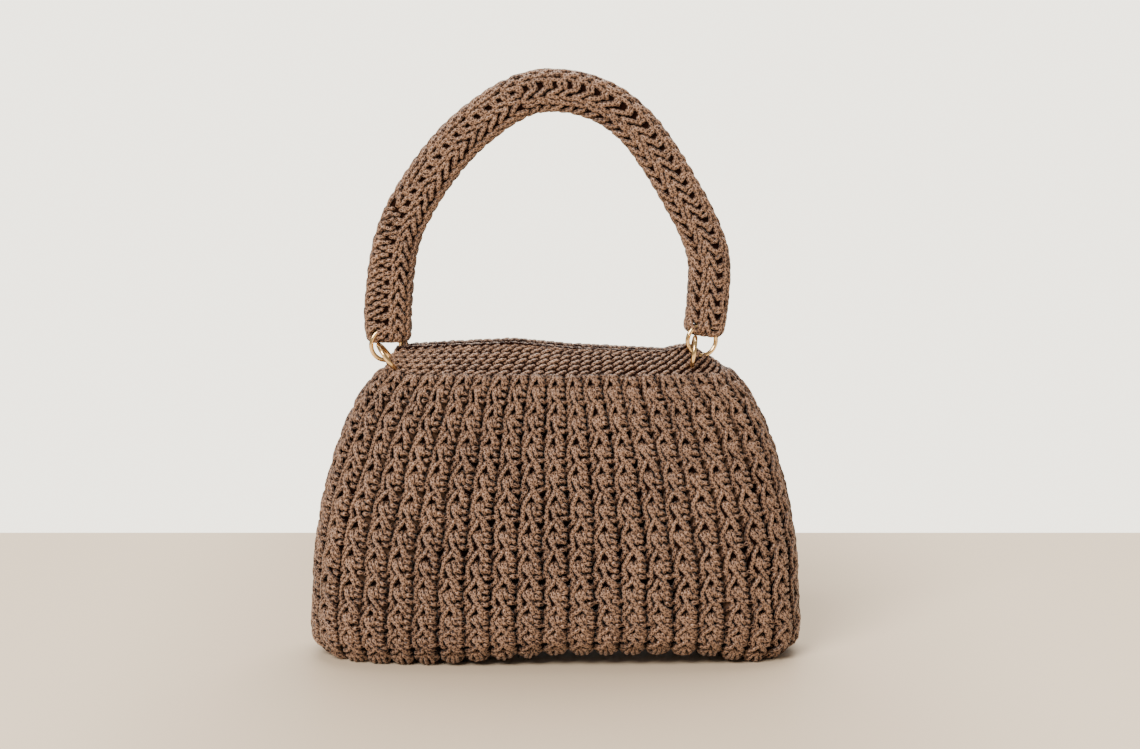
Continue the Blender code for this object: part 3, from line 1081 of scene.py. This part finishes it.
@dataclass
class TopBand:
    """The plain stitched band: a shell in near-black painted shade and its rows of slanted stitches."""

    body: RibbedBody
    finish: Material
    hollow: Material
    height: float = 13.7 * MM
    mouth_width: float = 171.0 * MM
    mouth_depth: float = 19.0 * MM
    mouth_shift: float = -5.5 * MM
    wall: float = 4.5 * MM
    lip_wave: float = 3.0 * MM
    square: float = 2.6
    stitches: int = 66
    row_height: float = 4.5 * MM
    cord_radius: float = 1.3 * MM
    stagger: float = 0.37
    row_middle: float = 0.55
    lip_shifts: tuple[float, ...] = (-0.62, -0.2, 0.25)
    core_sunk: float = 1.5
    core_steps: int = 132
    core_levels: int = 15
    core_end: float = 0.15
    ridge_row: int = 4
    levels_a_row: int = 10
    steps_round: int = 528

    def __post_init__(self) -> None:
        """Starts the band's random source and finds the height of its foot."""
        self.rng = np.random.default_rng(23)
        self.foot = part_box("top_band")[0][2]

    def loop(self, row: BandRow, inset: float, count: int) -> Array:
        """A loop of the band's faces at a row, set in by some depth."""
        wide, deep, _, _ = self.body.section(1.0)
        pulled = row.inset * self.wall + inset
        half_width = self.body.half_width * wide * (1 - row.lean) + self.mouth_width / 2 * row.lean - pulled
        half_depth = self.body.half_depth * deep * (1 - row.lean) + self.mouth_depth / 2 * row.lean - pulled
        points = outline(half_width, half_depth, self.square, count)
        x = points[:, 0] + self.mouth_shift * row.lean
        places = self.mouth_shift + LIP[:, 0] * self.mouth_width / 2
        rise = self.lip_wave * row.up**2 * np.interp(x, places, LIP[:, 1])
        z = self.foot + row.up * self.height - row.drop * self.wall + rise
        return np.column_stack([x, points[:, 1], np.maximum(z, self.foot)])

    def patch(self) -> Patch:
        """The band's surface with rows of stitches of even height."""
        loops = np.array([self.loop(row, 0.0, self.steps_round) for row in BAND_ROWS])
        front = self.steps_round * 3 // 4
        length = run_length(loops[:, front])
        rows = length[-1] / self.row_height
        self.ridge = length[self.ridge_row] / self.row_height
        fine = np.linspace(0.0, length[-1], int(rows * self.levels_a_row) + 1)
        grid = read(fine, length, loops.reshape(len(loops), -1)).reshape(len(fine), self.steps_round, 3)
        return Patch(grid, self.stitches, 0.0, rows)

    def core(self, patch: Patch) -> Object:
        """The ring of cord work between the band's outer and inner stitches, in near-black painted shade."""
        right = np.arange(self.core_steps) * self.stitches / self.core_steps
        loops = []
        for up in np.linspace(self.core_end, patch.last - self.core_end, self.core_levels):
            points, normals = patch.at(right, np.full(self.core_steps, up))
            loops.append(points - normals * self.core_sunk * MM)
        return loft("band_core", loops, self.hollow, round_trip=True)

    def build(self) -> list[Object]:
        """Builds the band's pieces and ties them to the frame."""
        patch = self.patch()
        layer = StitchLayer(patch, self.cord_radius, self.rng)
        for row in range(int(patch.last)):
            places = np.arange(self.stitches) + self.stagger * row
            layer.lay(PLAIN, places, np.full(self.stitches, row + self.row_middle))
        for shift in self.lip_shifts:
            places = np.arange(self.stitches) + shift
            layer.lay(LIP_STRAND, places, np.full(self.stitches, self.ridge + shift))
        cords = layer.skein.joined("band_cord", self.finish)
        core = self.core(patch)
        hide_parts("top_band")
        for piece in (cords, core):
            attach(piece, "root")
        return [cords, core]


# The handle's middle line: shares of its half span and rise, and share of its width
HANDLE = np.array((
    (-1.000, 0.000, 1.06),
    (-1.000, 0.160, 1.08),
    (-0.937, 0.419, 1.04),
    (-0.752, 0.643, 1.02),
    (-0.465, 0.850, 1.00),
    (-0.101, 0.989, 0.98),
    (0.270, 0.977, 0.97),
    (0.572, 0.855, 0.95),
    (0.845, 0.604, 0.95),
    (1.022, 0.365, 0.95),
    (1.025, 0.150, 0.94),
    (0.997, 0.028, 0.92),
))

# The cord that ties the handle to the band: its turns in millimetres from the handle's left end
TIE = np.array(((8.8, -1.2, 3.5), (9.3, -2.6, 0.4), (9.5, -2.8, -2.6), (9.2, -2.2, -6.0)))


@dataclass
class Handle:
    """The padded handle: a core in near-black painted shade and its lengthwise columns of chain stitches."""

    band: TopBand
    finish: Material
    hollow: Material
    out: float = 3.5 * MM
    lift: float = 1.8 * MM
    rise: float = 141.7 * MM
    width: float = 24.5 * MM
    depth: float = 16.0 * MM
    square: float = 2.8
    rounding: float = 7.0 * MM
    columns: int = 10
    stitch: float = 7.6 * MM
    cord_radius: float = 1.3 * MM
    cap_loops: int = 6
    cap_end: float = 0.4
    drawn_in: float = 0.70
    core_sunk: float = 1.6
    loose: float = 0.05
    uneven: float = 0.12
    hole_start: float = 2.45
    hole_drift: float = 1.10
    tie_radius: float = 0.85 * MM
    tie_apart: float = 0.8 * MM
    tie_shade: float = 0.25
    chains: int = 5
    outer: float = 2.06

    def __post_init__(self) -> None:
        """Reads the middle line and its length."""
        self.rng = np.random.default_rng(37)
        half_span = self.band.mouth_width / 2 + self.out
        foot = self.band.foot + self.band.height + self.lift
        across, ups, wide = HANDLE.T
        rows = np.column_stack([self.band.mouth_shift + across * half_span, foot + ups * self.rise, wide])
        self.line = smooth_columns(rows, count=300)
        step = np.linalg.norm(np.diff(self.line[:, :2], axis=0), axis=1)
        self.length = float(step.sum())
        self.stitches = int(self.length / self.stitch)

    def grid(self, inset: float, count: int, every: int, capped: bool) -> Array:
        """The handle's surface as loops along it, with the ends drawn in.

        Args:
            inset: how far inside the surface.
            count: how many points go round it.
            every: how many steps of the middle line lie between two loops.
            capped: whether loops that close the end faces are added.

        Returns:
            The loops' points.
        """
        along = np.gradient(self.line[:, :2], axis=0)
        along /= np.linalg.norm(along, axis=1)[:, None]
        places = np.linspace(0.0, self.length, len(self.line))
        caps = range(self.cap_loops, 0, -1) if capped else ()
        rows = [(0, 1 - cap / (self.cap_loops + self.cap_end)) for cap in caps]
        rows += [(index, 1.0) for index in range(0, len(self.line), every)]
        rows += [(len(self.line) - 1, closing) for _, closing in rows[: len(caps)][::-1]]
        loops = []
        for index, closing in rows:
            x, z, wide = self.line[index]
            run, climb = along[index]
            from_end = min(places[index], self.length - places[index])
            inside = min(1.0, from_end / self.rounding)
            full = (self.drawn_in + (1 - self.drawn_in) * math.sqrt(1 - (1 - inside) ** 2)) * closing
            half_width = wide * self.width / 2 * full - inset
            half_depth = self.depth / 2 * full - inset
            section = np.roll(outline(half_width, half_depth, self.square, count), count // 2, axis=0)
            across, through = section[:, 0], section[:, 1]
            loops.append(np.column_stack([x + across * climb, through, z - across * run]))
        return np.array(loops)

    def tie(self, skein: Skein) -> None:
        """Adds the short cord that ties the inner corner of the handle's left end to the band."""
        x, z, _ = self.line[0]
        sides = np.array(((-self.tie_apart, 0.0, 0.0), (self.tie_apart, 0.0, 0.0)))
        centres = np.array((x, 0.0, z)) + TIE * MM + sides[:, None]
        facing = np.zeros_like(centres)
        facing[..., 1] = -1.0
        radius = np.full(2, self.tie_radius)
        skein.lay(centres, facing, radius, np.full(centres.shape[:2], self.tie_shade), 8, self.rng)

    def hole_line(self, up: Array) -> Array:
        """Where the line of holes lies round the handle, at places along it."""
        return self.hole_start - self.hole_drift * np.clip(up / self.stitches, 0.0, 1.0)

    def build(self) -> list[Object]:
        """Builds the handle's pieces and ties them to the frame."""
        reach = self.cap_loops * self.length / (len(self.line) - 1) / self.stitch
        grid = self.grid(0.0, count=200, every=1, capped=True)
        patch = Patch(grid, self.columns, -reach, self.stitches + reach)
        layer = StitchLayer(patch, self.cord_radius, self.rng, self.loose, loose_thickness=self.uneven)
        whole = np.arange(-1.0, self.stitches + 2.0)
        share = np.clip(whole / self.stitches, 0.0, 1.0)
        step = (self.columns - self.outer) / self.chains
        starts = [(HOLE_COLUMNS, 0.0)] + [(CHAIN_COLUMNS, chain * step) for chain in range(self.chains)]
        for columns, start in starts:
            for column in columns:
                ups = whole[(share >= column.first) & (share <= column.last)] + column.up
                layer.lay(column.strand, self.hole_line(ups) + start + column.right, ups)
        self.tie(layer.skein)
        cords = layer.skein.joined("handle_cord", self.finish)
        loops = self.grid(self.core_sunk * self.cord_radius, count=40, every=6, capped=False)
        core = loft("handle_core", list(loops), self.hollow)
        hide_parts("handle")
        for piece in (cords, core):
            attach(piece, "root")
        return [cords, core]


class RingRow(NamedTuple):
    """A ring: its node, the handle's end, its centre from there in ring radii, its turn and its lean."""

    node: str
    end: int
    across: float
    back: float
    up: float
    turn: float
    lean: float


RINGS = (
    RingRow("ring_left_handle", 0, -0.15, -0.45, -0.13, 22, 0),
    RingRow("ring_left_front", 0, -0.01, -0.82, -0.89, 90, -37),
    RingRow("ring_right_handle", -1, -0.06, -0.45, -0.30, 22, 0),
    RingRow("ring_right_front", -1, -0.65, -1.14, -1.02, 90, 8),
)


@dataclass
class Rings:
    """The brass rings that join the handle to the band."""

    handle: Handle
    finish: Material
    outer: float = 20.1 * MM
    wire: float = 2.5 * MM
    steps: int = 72
    sides: int = 18

    def ring(self, row: RingRow) -> Object:
        """Spins one ring and puts it in its place."""
        radius = (self.outer - self.wire) / 2
        bm = bmesh.new()
        made = bmesh.ops.create_circle(bm, segments=self.sides, radius=self.wire / 2)
        bmesh.ops.translate(bm, verts=made["verts"], vec=(radius, 0, 0))
        rim = list(bm.verts) + list(bm.edges)
        whole = {"axis": (0, 1, 0), "angle": 2 * math.pi, "steps": self.steps}
        bmesh.ops.spin(bm, geom=rim, cent=(0, 0, 0), use_merge=True, **whole)
        bmesh.ops.remove_doubles(bm, verts=bm.verts, dist=1e-6)
        x, z, _ = self.handle.line[row.end]
        centre = Vector((x, 0, z)) + Vector((row.across, row.back, row.up)) * radius
        turn = Matrix.Rotation(math.radians(row.turn), 4, "Z")
        lean = Matrix.Rotation(math.radians(row.lean), 4, "Y")
        bmesh.ops.transform(bm, matrix=Matrix.Translation(centre) @ lean @ turn, verts=bm.verts)
        bmesh.ops.recalc_face_normals(bm, faces=bm.faces)
        piece = meshed("brass_" + row.node, bm, self.finish)
        piece.data.shade_smooth()
        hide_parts(row.node)
        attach(piece, "root")
        return piece

    def build(self) -> list[Object]:
        """Builds all the rings."""
        return [self.ring(row) for row in RINGS]


@dataclass
class Studio:
    """The pale table and backdrop, the soft lights and the camera at the photograph's angle."""

    table_edge: float = 0.331
    table_half_width: float = 3.0
    table_half_depth: float = 1.6
    target: tuple[float, float, float] = (0.0082, 0.0, 0.160)
    distance: float = 1.40
    elevation: float = 8.0
    lens: float = 77.8
    sensor: float = 36.0
    light_colour: Colour = (1.0, 0.94, 0.87)
    room_colour: Colour = (0.90, 0.85, 0.80)
    room_strength: float = 0.45
    wall_colour: Colour = (1.0, 0.945, 0.81)
    wall_strength: float = 3.45
    # The table's colour under the bag's painted shadow, and its own colour further out
    table_painted_shadow: Colour = (0.61, 0.50, 0.37)
    table_side: Colour = (0.80, 0.67, 0.51)
    fade_from: float = 0.10
    fade_to: float = 0.30
    table_roughness: float = 0.38
    table_shine: float = 0.35

    def pale_table(self) -> Material:
        """The table's paint, with a painted shadow of the bag: darker in the middle and a little brighter
        away from the bag.
        """
        made, wires, shader = started("pale_table")
        split = wires.add("SeparateXYZ", {0: wires.place()})
        away = wires.calc("ABSOLUTE", split.outputs["X"])
        fade = wires.eased(away, self.fade_from, self.fade_to, 0.0, 1.0)
        wires.fill(shader, {
            "Base Color": wires.mixed(fade, self.table_painted_shadow, self.table_side),
            "Roughness": self.table_roughness,
            "Specular IOR Level": self.table_shine,
        })
        return made

    def table(self) -> None:
        """The table top, which ends behind the bag."""
        bm = bmesh.new()
        bmesh.ops.create_grid(bm, x_segments=1, y_segments=1, size=1.0)
        bmesh.ops.scale(bm, verts=bm.verts, vec=(self.table_half_width, self.table_half_depth, 1.0))
        bmesh.ops.translate(bm, verts=bm.verts, vec=(0.0, self.table_edge - self.table_half_depth, 0.0))
        table = meshed("table_top", bm, self.pale_table())

    def world(self) -> None:
        """The plain pale wall behind the table, and the dimmer room that lights the bag."""
        world = bpy.data.worlds.new("pale_room")
        bpy.context.scene.world = world
        world.use_nodes = True
        wires = Wiring(world.node_tree)
        room = world.node_tree.nodes["Background"]
        wires.fill(room, {"Color": self.room_colour, "Strength": self.room_strength})
        wall = wires.add("Background", {"Color": self.wall_colour, "Strength": self.wall_strength})
        seen = wires.add("LightPath").outputs["Is Camera Ray"]
        mix = wires.add("MixShader", {0: seen, 1: room.outputs[0], 2: wall.outputs[0]})
        wires.fill(world.node_tree.nodes["World Output"], {"Surface": mix.outputs[0]})

    def light(self, name: str, away: tuple[float, float, float], spread: float, power: float) -> None:
        """A soft light from one direction, as wide as some degrees, which lights the table evenly."""
        lamp = bpy.data.lights.new(name, "SUN")
        lamp.angle = math.radians(spread)
        lamp.energy = power
        lamp.color = self.light_colour
        made = placed(name, lamp)
        made.rotation_euler = (-Vector(away)).to_track_quat("-Z", "Y").to_euler()

    def camera(self) -> None:
        """The camera, at the photograph's distance and angle."""
        data = bpy.data.cameras.new("camera")
        data.lens = self.lens
        data.sensor_width = self.sensor
        made = placed("camera", data)
        up = math.radians(self.elevation)
        away = Vector((0.0, -math.cos(up), math.sin(up)))
        made.location = Vector(self.target) + away * self.distance
        made.rotation_euler = (-away).to_track_quat("-Z", "Y").to_euler()
        bpy.context.scene.camera = made

    def build(self) -> None:
        """Builds the stage, the lights and the camera."""
        self.camera()
        self.world()
        self.table()
        self.light("key", away=(-0.60, -1.00, 0.95), spread=28.0, power=4.9)
        self.light("top", away=(0.05, 0.50, 1.0), spread=50.0, power=4.4)


def main() -> None:
    """Builds the scene in order and reports each piece."""
    logging.basicConfig(level=logging.INFO, format="%(name)s: %(message)s")
    Studio().build()
    knit = chain_knit_group()
    # The cord's lit colour, its shaded copy and its near-black painted shade
    satin = CordFinish("satin_cord", (0.460, 0.262, 0.159), (0.040, 0.017, 0.0105), (0.009, 0.0016, 0.0007))
    cord = satin.material(knit)
    # Near-black painted shade for the shell and cores behind the stitches
    hollow = HollowFinish("shaded_cord", (0.006, 0.0012, 0.0008), (0.016, 0.005, 0.002)).material()
    inside = HollowFinish("inner_cord", (0.060, 0.028, 0.016), (0.200, 0.112, 0.070)).material()
    brass = BrassFinish("pale_gold", (0.85, 0.60, 0.30), (0.76, 0.50, 0.22)).material()
    body = RibbedBody(cord, hollow, inside)
    body.build()
    band = TopBand(body, cord, hollow)
    band.build()
    handle = Handle(band, cord, hollow)
    handle.build()
    Rings(handle, brass).build()


if __name__ == "__main__":
    main()
